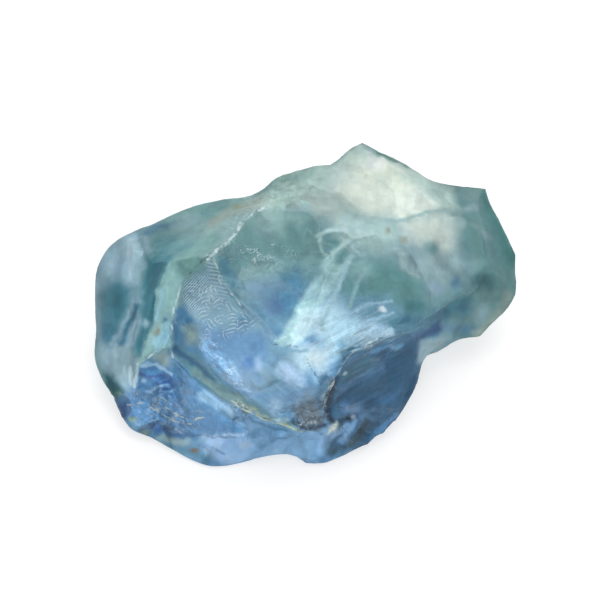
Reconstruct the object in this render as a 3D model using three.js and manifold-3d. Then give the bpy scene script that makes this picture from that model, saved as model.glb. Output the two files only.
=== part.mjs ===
// A rough sapphire as it broke from its crystal: one stone, about 13 mm long, lying on a flat.
// Millimetres, +Z up, origin under the middle of the stone.
//
// The stone is bounded by break faces. Where faces meet there is an edge, written below as a run
// of corners. Each face is a loop of such runs, filled with small triangles, dished or crowned as
// the break left it and roughened. The whole is then cut off flat where the stone lies.

import * as THREE from 'three';
import { ImprovedNoise } from 'three/addons/math/ImprovedNoise.js';
import { mergeVertices } from 'three/addons/utils/BufferGeometryUtils.js';
import Module from 'manifold-3d';

// Driving dimensions, in mm unless they say degrees.
const LEAN_DEG = 50; // how far the broad face leans back from upright in the lying stone
const AXIS_HEIGHT = 3.0; // height of the broad face's origin above the table
const TABLE_CUT = { side: 40, depth: 10 }; // the block that trims the stone flat
const WAVER = { size: 0.075, length: 1.1, shifts: [11.3, 37.1, 71.9] }; // bends of every edge
const CHIPPING = { size: 0.03, length: 0.42, shifts: [5.2, 23.4, 53.6] }; // fine steps on top
const RING_SPACING = 1.25; // between the rings of a shell-shaped break

// How a face broke: height of its rings, and of its hackle against the common chipping.
const GLASSY = { rings: 0.025, hackle: 0.25 };
const PLAIN = { rings: 0.01, hackle: 0.8 };
const SPLINTERED = { rings: 0, hackle: 2.2 };

// Mesh settings.
const LONGEST_SIDE = 0.42; // mm, of any triangle
const FLIP_ANGLE = Math.PI + 0.01; // two corners facing an edge, above which it is turned
const SPLIT_SMOOTHING = 2; // passes after each split
const TIDY_ROUNDS = 12;
const TIDY_SMOOTHING = 4;
const FILM_ROUNDS = 60;
const SWELL_ROUNDS = 400;

const sapphire = new THREE.MeshStandardMaterial({ color: 0x7fa6ad, roughness: 0.22, metalness: 0 });

// Corners seen square to the broad face: across, up the face, out of the face.
const ON_FACE = {
	// The outline of the broad face, clockwise from its left end.
	rim: [
		[-6.63, 0.13, -1.6], [-6.63, 1.13, -1.7], [-6.25, 1.81, -1.8], [-5.75, 2.19, -1.75],
		[-5.13, 2.44, -1.6], [-4.25, 2.78, -1.4], [-3.31, 3.16, -1.2], [-2.63, 3.31, -1.0],
		[-1.75, 3.38, -0.7], [-1.34, 3.56, -0.6], [-0.94, 3.97, -0.8], [-0.34, 4.13, -0.85],
		[0.16, 4.34, -0.9], [0.75, 4.38, -0.9], [1.06, 4.59, -1.1], [1.38, 4.91, -1.3],
		[1.75, 5.06, -1.5], [2.06, 4.94, -1.6], [2.78, 4.59, -1.7], [3.34, 4.28, -1.75],
		[3.88, 3.91, -1.8], [4.34, 3.75, -1.9], [4.97, 3.69, -2.05], [5.66, 3.59, -2.2],
		[5.97, 2.81, -2.2], [6.25, 2.06, -2.2], [6.56, 1.56, -2.2], [6.66, 0.75, -2.2],
		[6.63, 0.31, -2.2], [6.31, -0.25, -2.1], [5.78, -0.69, -2.0], [5.5, -1.06, -2.0],
		[5.06, -1.13, -1.8], [4.56, -1.16, -1.6], [4.09, -1.34, -1.3], [3.72, -1.69, -1.0],
		[3.47, -2.13, -0.8], [3.31, -2.69, -0.5], [2.94, -3.25, -0.3], [2.47, -3.81, -0.1],
		[1.88, -4.41, 0.1], [1.22, -4.66, 0.1], [0.59, -4.84, 0.3], [0, -4.91, 0.4],
		[-0.28, -4.75, 0.3], [-0.81, -4.66, 0.4], [-1.38, -4.75, 0.4], [-1.91, -4.94, 0.4],
		[-2.41, -5.03, 0.4], [-2.94, -4.91, 0.3], [-3.63, -4.66, 0.1], [-4.31, -4.31, -0.1],
		[-5.13, -3.97, -0.3], [-5.5, -3.63, -0.4], [-5.91, -3.09, -0.6], [-6.22, -2.53, -0.9],
		[-6.47, -1.81, -1.2], [-6.59, -0.97, -1.4],
	],
	// The sharp crest from the peak down the left side.
	crest: [
		[1.22, 4.13, -0.7], [0.44, 3.78, -0.2], [-0.34, 3.47, 0.2], [-1.19, 3.09, 0.5],
		[-1.75, 2.81, 0.9], [-2.06, 2.44, 1.2], [-2.38, 1.94, 1.5], [-2.91, 1.47, 1.7],
		[-3.44, 1.06, 1.6], [-3.84, 0.5, 1.5], [-4.0, -0.19, 1.4], [-4.19, -0.88, 1.3],
		[-4.41, -1.38, 1.2], [-4.88, -1.66, 1.0], [-5.25, -1.94, 0.7],
	],
	// The outer edge of the bevel beside the crest, the groove below it and the flank beyond.
	bevel: [
		[-3.47, 1.5, 1.45], [-4.06, 1.31, 1.0], [-4.44, 0.91, 0.9], [-4.63, 0.22, 0.8],
		[-4.81, -0.56, 0.7], [-5.03, -1.19, 0.6],
	],
	groove: [[-4.81, 1.25, 0.2], [-5.0, 0.44, 0], [-5.19, -0.5, 0], [-5.34, -1.28, 0.2]],
	flank: [[-5.38, 1.69, -0.5], [-5.56, 0.44, -0.5], [-5.81, -0.5, -0.6], [-6.03, -1.28, -0.7]],
	// The dish in the middle of the face: its left seam, then its top and right side.
	seam: [
		[-2.63, 0.75, 2.0], [-2.22, 0.19, 2.2], [-1.69, -0.25, 2.3], [-1.13, -0.75, 2.4],
		[-0.78, -1.16, 2.4],
	],
	dish: [
		[-0.44, 2.81, 0.8], [0.13, 2.94, 0.8], [0.44, 2.47, 1.0], [0.44, 1.94, 1.25],
		[0.53, 1.31, 1.35], [0.19, 0.56, 1.6], [-0.19, -0.25, 1.9], [-0.56, -0.94, 2.2],
	],
	// The narrow step right of the dish, and the knot of small breaks above it.
	step: [
		[1.25, 1.81, 1.3], [0.78, 1.19, 1.55], [0.5, 0.5, 1.85], [0.28, -0.13, 2.15],
		[0.03, -0.75, 2.4], [-0.25, -1.16, 2.5],
	],
	knot: [[0.63, 2.22, 1.15], [1.22, 2.31, 1.05], [1.47, 2.0, 1.15], [2.16, 2.13, 0.9]],
	// The brow under the clear pane at the top right, and the pane's upper edge.
	brow: [
		[0.91, 3.03, 0.5], [1.84, 2.69, 0.4], [2.78, 2.56, 0.1], [3.56, 2.69, -0.3],
		[4.41, 2.94, -0.9], [5.28, 3.0, -1.5],
	],
	pane: [[1.94, 4.66, -1.0], [2.78, 4.25, -1.0], [3.72, 3.56, -1.0]],
	// A faint fold of the right face, and the edge where it turns over to the right end.
	fold: [[3.31, 1.53, 0.75], [3.81, 0.59, 0.5]],
	cheek: [[5.44, 2.16, -1.3], [5.66, 1.31, -1.2], [5.38, 0.44, -1.1], [4.66, 0.13, -0.4]],
	// The keel that parts the bright upper right from the dark lower right.
	keel: [
		[4.19, -0.13, -0.1], [3.63, -0.5, 0.4], [3.19, -0.84, 0.8], [2.56, -1.06, 1.3],
		[1.84, -1.28, 1.8], [1.31, -1.53, 2.1], [1.06, -1.91, 2.2], [0.84, -2.31, 2.2],
		[0.66, -2.84, 2.0], [0.5, -3.38, 1.6],
	],
	nose: [[0.59, -1.28, 2.5]],
	brim: [[-1.13, -1.75, 2.4], [-0.66, -2.31, 2.4], [-0.03, -2.63, 2.25]],
	// The long band across the lower left: its upper and its lower edge.
	band_top: [
		[-3.78, -0.44, 1.6], [-3.44, -1.13, 1.7], [-3.06, -1.69, 1.8], [-2.75, -2.16, 1.85],
		[-2.22, -2.56, 1.9], [-1.75, -2.88, 1.9], [-1.28, -3.25, 1.7], [-0.25, -3.97, 1.2],
	],
	band_foot: [
		[-4.25, -1.44, 1.1], [-3.94, -1.84, 1.15], [-3.44, -2.25, 1.2], [-2.94, -2.63, 1.3],
		[-2.44, -2.97, 1.4], [-1.97, -3.22, 1.45], [-1.38, -3.5, 1.4],
	],
	// The foot of the hollow below the band, and the small breaks under it.
	hollow: [
		[-4.41, -1.78, 0.9], [-4.0, -2.22, 0.8], [-3.84, -2.91, 0.7], [-3.53, -3.28, 0.8],
		[-2.94, -3.41, 0.95], [-2.19, -3.66, 1.05], [-1.75, -3.94, 1.0],
	],
	pit: [[-4.56, -2.88, 0.3], [-5.25, -2.66, 0.1], [-5.63, -2.69, -0.2]],
	ledge: [
		[-3.63, -3.78, 0.45], [-4.06, -4.19, 0.2], [-3.38, -4.16, 0.5], [-2.53, -4.16, 0.65],
		[-3.13, -4.56, 0.4], [-1.44, -4.34, 0.7],
	],
	heel: [[-0.19, -4.44, 0.7], [0.38, -3.88, 1.15]],
	// The lower edge of the dark face.
	spur: [[3.5, -1.28, 0.1]],
	hem: [[2.31, -3.19, 0.7], [1.53, -3.34, 1.2], [0.91, -3.53, 1.35]],
	toe: [[1.31, -4.25, 0.8], [0.81, -3.88, 1.1]],
};

// Corners of the far side, seen from above: across, away from the broad face, above the table.
// The sole starts a little below the table, and the cut makes it flat.
const SOLE_DROP = -0.3;
const ON_TABLE = {
	back: [
		[-6.0, 2.0, 1.2], [-4.9, 3.2, 2.2], [-2.2, 3.9, 3.1], [-0.9, 4.3, 1.2],
		[1.6, 5.2, 2.9], [3.3, 5.1, 1.4], [5.0, 4.3, 2.3], [6.0, 3.2, 1.1],
	],
	sole: [
		[-4.9, -1.6, SOLE_DROP], [-3.4, -2.9, SOLE_DROP], [-1.4, -3.3, SOLE_DROP],
		[0.6, -3.1, SOLE_DROP], [2.0, -2.0, SOLE_DROP], [3.0, 0.2, SOLE_DROP],
		[3.6, 2.4, SOLE_DROP], [1.8, 3.7, SOLE_DROP], [-1.6, 3.1, SOLE_DROP],
		[-3.6, 1.8, SOLE_DROP], [-5.2, 0.3, SOLE_DROP],
	],
};

// A run of corners along one edge, such as run('rim', 4, 9); a falling run goes backwards.
function run(edge, from, to = from) {
	const way = Math.sign(to - from);
	return Array.from({ length: Math.abs(to - from) + 1 }, (_, i) => edge + (from + i * way));
}

// The break faces: name, mm that the middle stands out (or, if negative, is dished), how it
// broke, and its loop, clockwise from outside. The break started at the loop's first corner.
const FACES = [
	['left_cheek', 0.15, PLAIN, run('rim', 0, 3), run('flank', 0, 3), run('rim', 56, 57)],
	['left_hollow', -0.18, PLAIN, run('rim', 3, 4), run('groove', 0, 3), run('flank', 3, 0)],
	['left_wall', -0.1, PLAIN, run('bevel', 1, 5), run('crest', 14), run('groove', 3, 0)],
	['left_foot', -0.12, SPLINTERED, run('groove', 3), run('crest', 14), run('pit', 1, 2),
		run('rim', 54, 56), run('flank', 3)],
	['bevel', 0.05, GLASSY, run('crest', 7, 14), run('bevel', 5, 0)],
	['shoulder', -0.15, PLAIN, run('rim', 4, 9), run('crest', 3, 7), run('bevel', 0, 1),
		run('groove', 0)],
	['upper_ledge', -0.1, SPLINTERED, run('rim', 9, 15), run('crest', 0, 3)],
	['upper_step', -0.05, PLAIN, run('crest', 3, 0), run('brow', 0), run('dish', 1, 0)],
	['upper_knot', -0.05, SPLINTERED, run('dish', 1), run('brow', 0, 1), run('knot', 3, 0),
		run('dish', 3, 2)],
	['small_knot', -0.08, SPLINTERED, run('dish', 3), run('knot', 0, 2), run('step', 0, 1),
		run('dish', 4)],
	['dish', -0.38, GLASSY, run('crest', 7, 3), run('dish', 0, 7), run('seam', 4, 0)],
	['step', -0.05, GLASSY, run('dish', 4), run('step', 1, 5), run('seam', 4), run('dish', 7, 5)],
	['pane', -0.2, GLASSY, run('crest', 0), run('pane', 0, 2), run('brow', 4, 0)],
	['pane_rim', -0.06, PLAIN, run('rim', 15, 21), run('pane', 2, 0), run('crest', 0)],
	['right_top', -0.12, PLAIN, run('rim', 21, 23), run('brow', 5, 4), run('pane', 2)],
	['right_side', -0.15, GLASSY, run('rim', 23, 28), run('cheek', 1, 0), run('brow', 5)],
	['right_foot', -0.25, GLASSY, run('cheek', 1), run('rim', 28, 33), run('keel', 0),
		run('cheek', 3, 2)],
	['right_face', 0.12, GLASSY, run('brow', 1, 2), run('fold', 0, 1), run('keel', 0, 5),
		run('nose', 0), run('step', 5, 0), run('knot', 2, 3)],
	['right_cheek', -0.2, GLASSY, run('brow', 2, 5), run('cheek', 0, 3), run('keel', 0),
		run('fold', 1, 0)],
	['striped_face', -0.12, PLAIN, run('crest', 7), run('seam', 0, 4), run('brim', 0, 1),
		run('band_top', 5, 0), run('crest', 10, 8)],
	['nose', 0.1, GLASSY, run('seam', 4), run('step', 5), run('nose', 0), run('keel', 5, 8),
		run('brim', 2, 0)],
	['dark_patch', -0.1, SPLINTERED, run('brim', 1, 2), run('keel', 8, 9), run('heel', 1),
		run('band_top', 7, 5)],
	['band', -0.1, PLAIN, run('crest', 10), run('band_top', 0, 7), run('band_foot', 6, 0),
		run('crest', 11)],
	['hollow', -0.2, GLASSY, run('crest', 11), run('band_foot', 0, 5), run('hollow', 6, 0),
		run('crest', 13, 12)],
	['pit', -0.18, PLAIN, run('crest', 13), run('hollow', 0, 2), run('pit', 0, 1), run('crest', 14)],
	['crackled', 0.06, SPLINTERED, run('pit', 1, 0), run('hollow', 2, 3), run('ledge', 0, 1),
		run('rim', 52, 54), run('pit', 2)],
	['lower_flat', -0.05, GLASSY, run('hollow', 3, 6), run('ledge', 3, 2), run('ledge', 0)],
	['lower_lip', -0.06, PLAIN, run('ledge', 2, 3), run('hollow', 6), run('ledge', 5),
		run('rim', 46, 48), run('ledge', 4)],
	['lower_edge', -0.04, SPLINTERED, run('ledge', 0), run('ledge', 2), run('ledge', 4),
		run('rim', 48, 52), run('ledge', 1)],
	['middle_foot', -0.22, PLAIN, run('band_foot', 5, 6), run('band_top', 7), run('heel', 0),
		run('rim', 44, 46), run('ledge', 5), run('hollow', 6)],
	['heel', -0.08, SPLINTERED, run('band_top', 7), run('heel', 1), run('toe', 1),
		run('rim', 42, 44), run('heel', 0)],
	['heel_nick', -0.05, PLAIN, run('keel', 9), run('hem', 2), run('toe', 1), run('heel', 1)],
	['toe', -0.1, SPLINTERED, run('hem', 2, 1), run('toe', 0), run('rim', 41, 42), run('toe', 1)],
	['toe_tip', 0, PLAIN, run('toe', 0), run('rim', 40, 41)],
	['toe_side', -0.12, SPLINTERED, run('hem', 1, 0), run('rim', 38, 40), run('toe', 0)],
	['dark_face', -0.28, PLAIN, run('keel', 2), run('spur', 0), run('rim', 36, 38), run('hem', 0, 2),
		run('keel', 9, 3)],
	['dark_side', -0.08, PLAIN, run('keel', 0), run('rim', 33), run('spur', 0), run('keel', 2, 1)],
	['clear_edge', -0.06, GLASSY, run('spur', 0), run('rim', 33, 36)],
	['back_left', -0.2, PLAIN, run('rim', 4, 0), run('back', 0, 1)],
	['back_slab', 0.1, PLAIN, run('rim', 9, 4), run('back', 1, 2)],
	['back_shell', -0.55, GLASSY, run('rim', 13, 9), run('back', 2, 4)],
	['back_peak', -0.1, PLAIN, run('rim', 18, 13), run('back', 4)],
	['back_right', -0.3, PLAIN, run('rim', 23, 18), run('back', 4, 6)],
	['back_side', -0.15, PLAIN, run('rim', 26, 23), run('back', 6, 7)],
	['back_tip', -0.1, PLAIN, run('rim', 29, 26), run('back', 7)],
	['under_left', -0.2, PLAIN, run('rim', 0), run('rim', 57, 56), run('sole', 10), run('back', 0)],
	['under_slab', -0.25, PLAIN, run('back', 3, 0), run('sole', 10, 8)],
	['under_peak', -0.2, PLAIN, run('back', 4, 3), run('sole', 8, 7)],
	['under_back_right', -0.1, PLAIN, run('back', 5, 4), run('sole', 7)],
	['under_corner', -0.25, PLAIN, run('back', 7, 5), run('sole', 7, 6)],
	['under_tip', -0.2, PLAIN, run('rim', 32, 29), run('back', 7), run('sole', 6, 5)],
	['under_spur', -0.1, PLAIN, run('rim', 35, 32), run('sole', 5)],
	['under_dark', -0.12, PLAIN, run('rim', 38, 35), run('sole', 5, 4)],
	['under_toe', -0.05, PLAIN, run('rim', 41, 38), run('sole', 4, 3)],
	['under_heel', 0, PLAIN, run('rim', 46, 41), run('sole', 3, 2)],
	['under_lip', 0, PLAIN, run('rim', 50, 46), run('sole', 2, 1)],
	['under_crackle', 0, PLAIN, run('rim', 53, 50), run('sole', 1, 0)],
	['under_flank', -0.05, PLAIN, run('rim', 56, 53), run('sole', 0), run('sole', 10)],
	['sole', 0, PLAIN, run('sole', 0, 10)],
];

// Every named corner in the frame of the lying stone.
function placeCorners() {
	const lean = new THREE.Matrix4().makeRotationX(THREE.MathUtils.degToRad(90 - LEAN_DEG));
	lean.premultiply(new THREE.Matrix4().makeTranslation(0, 0, AXIS_HEIGHT));
	const corners = new Map();
	for (const [edges, frame] of [[ON_FACE, lean], [ON_TABLE, new THREE.Matrix4()]]) {
		for (const [edge, places] of Object.entries(edges)) {
			places.forEach((place, i) => {
				corners.set(edge + i, new THREE.Vector3(...place).applyMatrix4(frame));
			});
		}
	}
	return corners;
}

// The outward normal of a clockwise loop.
function loopNormal(loop) {
	const normal = new THREE.Vector3();
	loop.forEach((point, i) => {
		const next = loop[(i + 1) % loop.length];
		normal.add(new THREE.Vector3().crossVectors(next, point));
	});
	return normal.normalize();
}

function edgeKey(a, b) {
	return a < b ? `${a}_${b}` : `${b}_${a}`;
}

// The stone's skin: points, the triangles that fill each face, and the keys of the face edges.
function fillFaces() {
	const corners = placeCorners();
	const names = [...corners.keys()];
	const points = [...corners.values()];
	const rims = new Set();
	const triangles = [];
	const faces = FACES.map(([, swell, texture, ...runs], face) => {
		const loop = runs.flat().map((corner) => names.indexOf(corner));
		loop.forEach((a, i) => rims.add(edgeKey(a, loop[(i + 1) % loop.length])));
		const normal = loopNormal(loop.map((i) => points[i]));
		const flat = new THREE.Quaternion().setFromUnitVectors(normal, new THREE.Vector3(0, 0, 1));
		const order = [...loop].reverse();
		const outline = order.map((i) => points[i].clone().applyQuaternion(flat));
		for (const corners of THREE.ShapeUtils.triangulateShape(outline, [])) {
			triangles.push({ at: corners.map((i) => order[i]), face });
		}
		return { swell, texture, normal, start: points[loop[0]].clone() };
	});
	return { points, triangles, rims, faces };
}

// Every edge with the triangles beside it. An edge inside a face belongs to that face alone.
function listEdges({ triangles, rims }) {
	const edges = new Map();
	triangles.forEach(({ at, face }, index) => {
		at.forEach((a, i) => {
			const b = at[(i + 1) % 3];
			const isRim = rims.has(edgeKey(a, b));
			const key = isRim ? edgeKey(a, b) : `${edgeKey(a, b)}_${face}`;
			const edge = edges.get(key) ?? { a, b, isRim, beside: [] };
			edge.beside.push({ index, face, a, b, tip: at[(i + 2) % 3] });
			edges.set(key, edge);
		});
	});
	return [...edges.values()];
}

// Halves the edges that are too long, the longest first and one to a triangle.
// Returns how many edges were too long.
function splitLongEdges(skin) {
	const { points, triangles, rims } = skin;
	const length = ({ a, b }) => points[a].distanceTo(points[b]);
	const long = listEdges(skin).filter((edge) => length(edge) > LONGEST_SIDE);
	long.sort((one, two) => length(two) - length(one));
	const done = new Set();
	for (const { a, b, isRim, beside } of long) {
		if (beside.some(({ index }) => done.has(index))) continue;
		const middle = points.length;
		points.push(points[a].clone().lerp(points[b], 0.5));
		if (isRim) rims.add(edgeKey(a, middle)).add(edgeKey(middle, b)).delete(edgeKey(a, b));
		for (const side of beside) {
			triangles[side.index] = { at: [side.a, middle, side.tip], face: side.face };
			triangles.push({ at: [middle, side.b, side.tip], face: side.face });
			done.add(side.index);
		}
	}
	return long.length;
}

// The angle at `tip` between the directions to a and b.
function angleAt(points, tip, a, b) {
	const toA = points[a].clone().sub(points[tip]);
	const toB = points[b].clone().sub(points[tip]);
	return toA.angleTo(toB);
}

// Turns the edge between two triangles of one face the other way where that makes them less thin.
function turnEdges(skin) {
	const { points, triangles } = skin;
	const edges = listEdges(skin);
	const taken = new Set(edges.map(({ a, b }) => edgeKey(a, b)));
	const done = new Set();
	for (const { isRim, beside } of edges) {
		if (isRim || beside.some(({ index }) => done.has(index))) continue;
		const [one, two] = beside;
		const facing = angleAt(points, one.tip, one.a, one.b) + angleAt(points, two.tip, one.a, one.b);
		if (facing < FLIP_ANGLE || taken.has(edgeKey(one.tip, two.tip))) continue;
		triangles[one.index] = { at: [one.tip, two.tip, one.b], face: one.face };
		triangles[two.index] = { at: [two.tip, one.tip, one.a], face: one.face };
		taken.add(edgeKey(one.tip, two.tip));
		done.add(one.index).add(two.index);
	}
}

// The neighbours of every point that lies inside a face.
function innerRings(skin) {
	const rings = new Map();
	const onRim = new Set();
	for (const { a, b, isRim } of listEdges(skin)) {
		if (isRim) onRim.add(a).add(b);
		rings.set(a, [...rings.get(a) ?? [], b]);
		rings.set(b, [...rings.get(b) ?? [], a]);
	}
	onRim.forEach((point) => rings.delete(point));
	return rings;
}

// Draws each face tight over its loop, like a soap film.
function relax({ points }, rings, rounds) {
	for (let round = 0; round < rounds; round += 1) {
		for (const [point, ring] of rings) {
			points[point].set(0, 0, 0);
			ring.forEach((other) => points[point].addScaledVector(points[other], 1 / ring.length));
		}
	}
}

// How far in from its edges each inner point lies: 0 at the edge, 1 in the middle of its face.
function insideness({ triangles, faces }, rings) {
	const depth = new Map([...rings.keys()].map((point) => [point, 0]));
	for (let round = 0; round < SWELL_ROUNDS; round += 1) {
		for (const [point, ring] of rings) {
			const sum = ring.reduce((total, other) => total + (depth.get(other) ?? 0), 0);
			depth.set(point, 1 + sum / ring.length);
		}
	}
	const faceOf = new Map(triangles.flatMap(({ at, face }) => at.map((point) => [point, face])));
	const deepest = faces.map(() => 1);
	depth.forEach((value, point) => {
		deepest[faceOf.get(point)] = Math.max(deepest[faceOf.get(point)], value);
	});
	return [...depth].map(([point, value]) => {
		const face = faceOf.get(point);
		return { point, face: faces[face], inside: value / deepest[face] };
	});
}

// Three slowly changing offsets, the same for every point at one place.
const noise = new ImprovedNoise();
function offsetAt(place, { size, length, shifts }) {
	const at = place.clone().divideScalar(length);
	const offsets = shifts.map((shift) => noise.noise(at.x + shift, at.y - shift, at.z + shift));
	return new THREE.Vector3(...offsets).multiplyScalar(size);
}

// Crowns or dishes each face, rings it from where its break started and hackles it.
function shapeFaces(skin) {
	for (const { point, face, inside } of insideness(skin, innerRings(skin))) {
		const place = skin.points[point];
		const turns = place.distanceTo(face.start) / RING_SPACING;
		const ring = face.texture.rings * Math.sin(2 * Math.PI * turns);
		const hackle = offsetAt(place, CHIPPING).x * face.texture.hackle;
		place.addScaledVector(face.normal, inside * (face.swell + ring) + hackle);
	}
}

// Bends the straight edges and chips them a little.
function bendEdges({ points }) {
	for (const point of points) {
		const bend = offsetAt(point, WAVER).add(offsetAt(point, CHIPPING));
		point.add(bend);
	}
}

function skinGeometry({ points, triangles }) {
	const geometry = new THREE.BufferGeometry().setFromPoints(points);
	return geometry.setIndex(triangles.flatMap(({ at }) => at));
}

// The cutting block, whose top is the table.
function tableBlock() {
	const { side, depth } = TABLE_CUT;
	const box = new THREE.BoxGeometry(side, side, depth).translate(0, 0, -depth / 2);
	box.deleteAttribute('normal');
	box.deleteAttribute('uv');
	return mergeVertices(box);
}

// The first solid without the second.
async function cutAway(geometry, block) {
	const wasm = await Module();
	wasm.setup();
	const [stone, cutter] = [geometry, block].map((shape) => new wasm.Manifold(new wasm.Mesh({
		numProp: 3,
		vertProperties: Float32Array.from(shape.getAttribute('position').array),
		triVerts: Uint32Array.from(shape.index.array),
	})));
	const mesh = stone.subtract(cutter).getMesh();
	const rest = new THREE.BufferGeometry();
	rest.setAttribute('position', new THREE.BufferAttribute(mesh.vertProperties, 3));
	return rest.setIndex(new THREE.BufferAttribute(mesh.triVerts, 1));
}

// Puts the origin under the middle of the stone, on the table.
function centreOverOrigin(geometry) {
	geometry.computeBoundingBox();
	const middle = geometry.boundingBox.getCenter(new THREE.Vector3());
	return geometry.translate(-middle.x, -middle.y, -geometry.boundingBox.min.z);
}

async function buildStone() {
	const skin = fillFaces();
	while (splitLongEdges(skin) > 0) {
		turnEdges(skin);
		relax(skin, innerRings(skin), SPLIT_SMOOTHING);
	}
	for (let round = 0; round < TIDY_ROUNDS; round += 1) {
		turnEdges(skin);
		relax(skin, innerRings(skin), TIDY_SMOOTHING);
	}
	relax(skin, innerRings(skin), FILM_ROUNDS);
	shapeFaces(skin);
	bendEdges(skin);
	const stone = new THREE.Mesh(await cutAway(skinGeometry(skin), tableBlock()), sapphire);
	centreOverOrigin(stone.geometry);
	stone.name = 'sapphire';
	return stone;
}

const group = new THREE.Group();
group.name = 'rough_sapphire';
group.add(await buildStone());
export default group;
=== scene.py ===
"""A rough blue-green sapphire lying on a pale sweep. Metres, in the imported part's own frame."""

import math

import bpy
import numpy as np
from mathutils import Matrix, Vector


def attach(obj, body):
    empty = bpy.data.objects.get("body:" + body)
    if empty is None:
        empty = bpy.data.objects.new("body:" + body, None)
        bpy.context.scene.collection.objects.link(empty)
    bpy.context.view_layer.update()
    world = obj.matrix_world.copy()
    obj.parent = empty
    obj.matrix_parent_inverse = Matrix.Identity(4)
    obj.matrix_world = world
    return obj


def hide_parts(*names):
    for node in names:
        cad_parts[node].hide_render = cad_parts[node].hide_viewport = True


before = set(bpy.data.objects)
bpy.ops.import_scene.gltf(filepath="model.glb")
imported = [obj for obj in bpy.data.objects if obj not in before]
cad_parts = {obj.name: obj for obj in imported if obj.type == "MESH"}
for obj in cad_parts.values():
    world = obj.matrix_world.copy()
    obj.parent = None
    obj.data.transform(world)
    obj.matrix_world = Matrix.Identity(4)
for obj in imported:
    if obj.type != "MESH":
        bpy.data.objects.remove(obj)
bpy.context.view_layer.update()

MM = 0.001

# the stone: lengths in mm
CREASE_DEG = 28
SMOOTHING = 0.5
FINEST_EDGE = 0.075
FINEST_DEPTH = -0.9

# each break of the surface: its size, its seed and how high it stands
LARGE_SPLINTERS = 0.55, 11, 0.06
SMALL_SPLINTERS = 0.22, 31, 0.034
CREST_CHIPS = 0.13, 71, 0.05
LONG_WAVES = 0.6, 51, 0.01
SHORT_WAVES = 0.25, 61, 0.006
SPLINTERED_ALL_OVER = 0.18
# how far the drawn lines and the zones wander, in the same order as the breaks
LINE_WANDERS = (0.55, 201, 0.07), (0.16, 211, 0.025)
ZONE_WANDERS = (0.6, 221, 0.06), (0.2, 231, 0.045), (0.1, 241, 0.02)
CREST_WIDTH = 0.14
CREST_SUNK = 0.01
# the flat under the stone stays flat: breaks reach full height this far above it
FLAT_MARGIN = 0.3
# how far a point must turn towards the broad face to count fully as front
FULLY_FRONT = 0.25
RIDGE_GAIN = 6
# painted shading of the splinters' little flats: how much the large and the small ones count, and its gain
LARGE_SHADING, SMALL_SHADING, SHADING_GAIN = 0.6, 0.4, 1.6
CRISP_MIDDLE = (-1.2, -1.2)
CRISP_SHAPE = (1, 0.8)
CRISP_RADIUS = 2.6
SATIN_FADE = 2.4

TEAL = (112, 146, 148)
BLUE = (106, 146, 178)
BORDER_HEIGHT, BORDER_BEND, BORDER_DEPTH = -0.1, 0.075, 1.8
# light that the surface mirrors anyway is taken off the colours
VEIL = np.array([0.055, 0.05, 0.045])
RICHNESS = 1.24
DARK_KEPT = np.array([0.38, 0.62, 0.72])
# the lower half brightened, painted light for the facets there that get less of the lamps
LOW_PAINTED_LIGHT = 0.15
PALEST = 0.95

CLEAREST = 0.56
LEAST_CLEAR = 0.05
MILKINESS = 0.5
DARK_BELOW, DARK_CLOUDING = 0.5, 0.6
MARK_CLOUDING = 0.4
ROUGHNESS = 0.2
MARK_DULLNESS, BREAK_DULLNESS, SATIN_DULLNESS = 0.2, 0.12, 0.14
SAPPHIRE_IOR = 1.77
SURFACE_GLOSS = 0
ABSORBED_TO = (0.6, 0.8, 0.9)
ABSORPTION = 60
RELIEF = 9, 5, 0.65
BUMP_STRENGTH = 0.7
BUMP_HEIGHT = 0.00004
CLOUD_TINT = (0.76, 0.82, 0.88)
STREAK_TINT = (1.3, 1.25, 1.22)
MOTTLE_TINT = (0.74, 0.8, 0.85)
# the fingerprint's grooves, darkened with painted shade
GROOVE_SHADE_COLOUR = (0.06, 0.14, 0.26)
PALE_COLOUR = (0.7, 0.82, 0.84)
DARK_COLOUR = (0.02, 0.04, 0.06)
GOLD_COLOUR = (0.66, 0.68, 0.46)
DARKEST_SWING, PALEST_SWING = 0.35, 1.8
# each stretched noise: its turn in degrees, scales per mm, detail and any roughness but 0.6
STRETCHED = {
    "streaks": (4, (2.6, 0.35, 0.6), 3, 0.5), "silk": (27, (0.5, 7, 1), 4), "comb": (-38, (0.7, 6, 1), 4),
    "rays": (27, (0.45, 5, 1), 2, 0.5), "grit": (-40, (3.6, 11, 6), 3, 0.7),
}
# each noise that breaks something up: where it gives 0 and 1, its scale per mm, and any detail and
# roughness but 3 and 0.6
PATCHY = {
    "clouds": (0.72, 0.3, 0.9, 4), "mottle": (0.7, 0.35, 6, 4, 0.7), "prints": (0.3, 0.54, 3),
    "hatching": (0.34, 0.5, 2.6, 3, 0.5), "wear_and_sheen": (0.36, 0.6, 5), "flecks": (0.5, 0.64, 2.2, 3, 0.5),
    "glints": (0.46, 0.58, 3.1, 3, 0.5), "grains": (0.5, 0.62, 2.7, 2, 0.5),
    "pale_gap": (0.34, 0.64, 2.6), "crest_gap": (0.34, 0.66, 7), "dark_gap": (0.36, 0.6, 4),
    "gold_gap": (0.32, 0.56, 4),
}
# how wide the drawn lines are in mm, and the thin lines' noises: scale per mm, detail and width
DRAWN_WIDTH = {"pale_gap": 0.05, "crest_gap": 0.11, "dark_gap": 0.04, "gold_gap": 0.027}
THIN_LINES = {
    "veins": (1.3, 3, 0.018), "flecks": (5, 2, 0.03), "glints": (4.2, 2, 0.03), "seams": (2.2, 4, 0.04)}
RAY_WIDTH = 0.03
LEAST_WIDTH = 0.004
GRAIN_SCALE, GRAIN_SIZE = 6, 0.34
SATIN_MOTTLE = 0.3
SILK_SWING, COMB_SWING, SHADING_SWING, GRIT_SWING, LEAST_GRIT = 2.6, 1.9, 1.15, 3.6, -0.3
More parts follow.
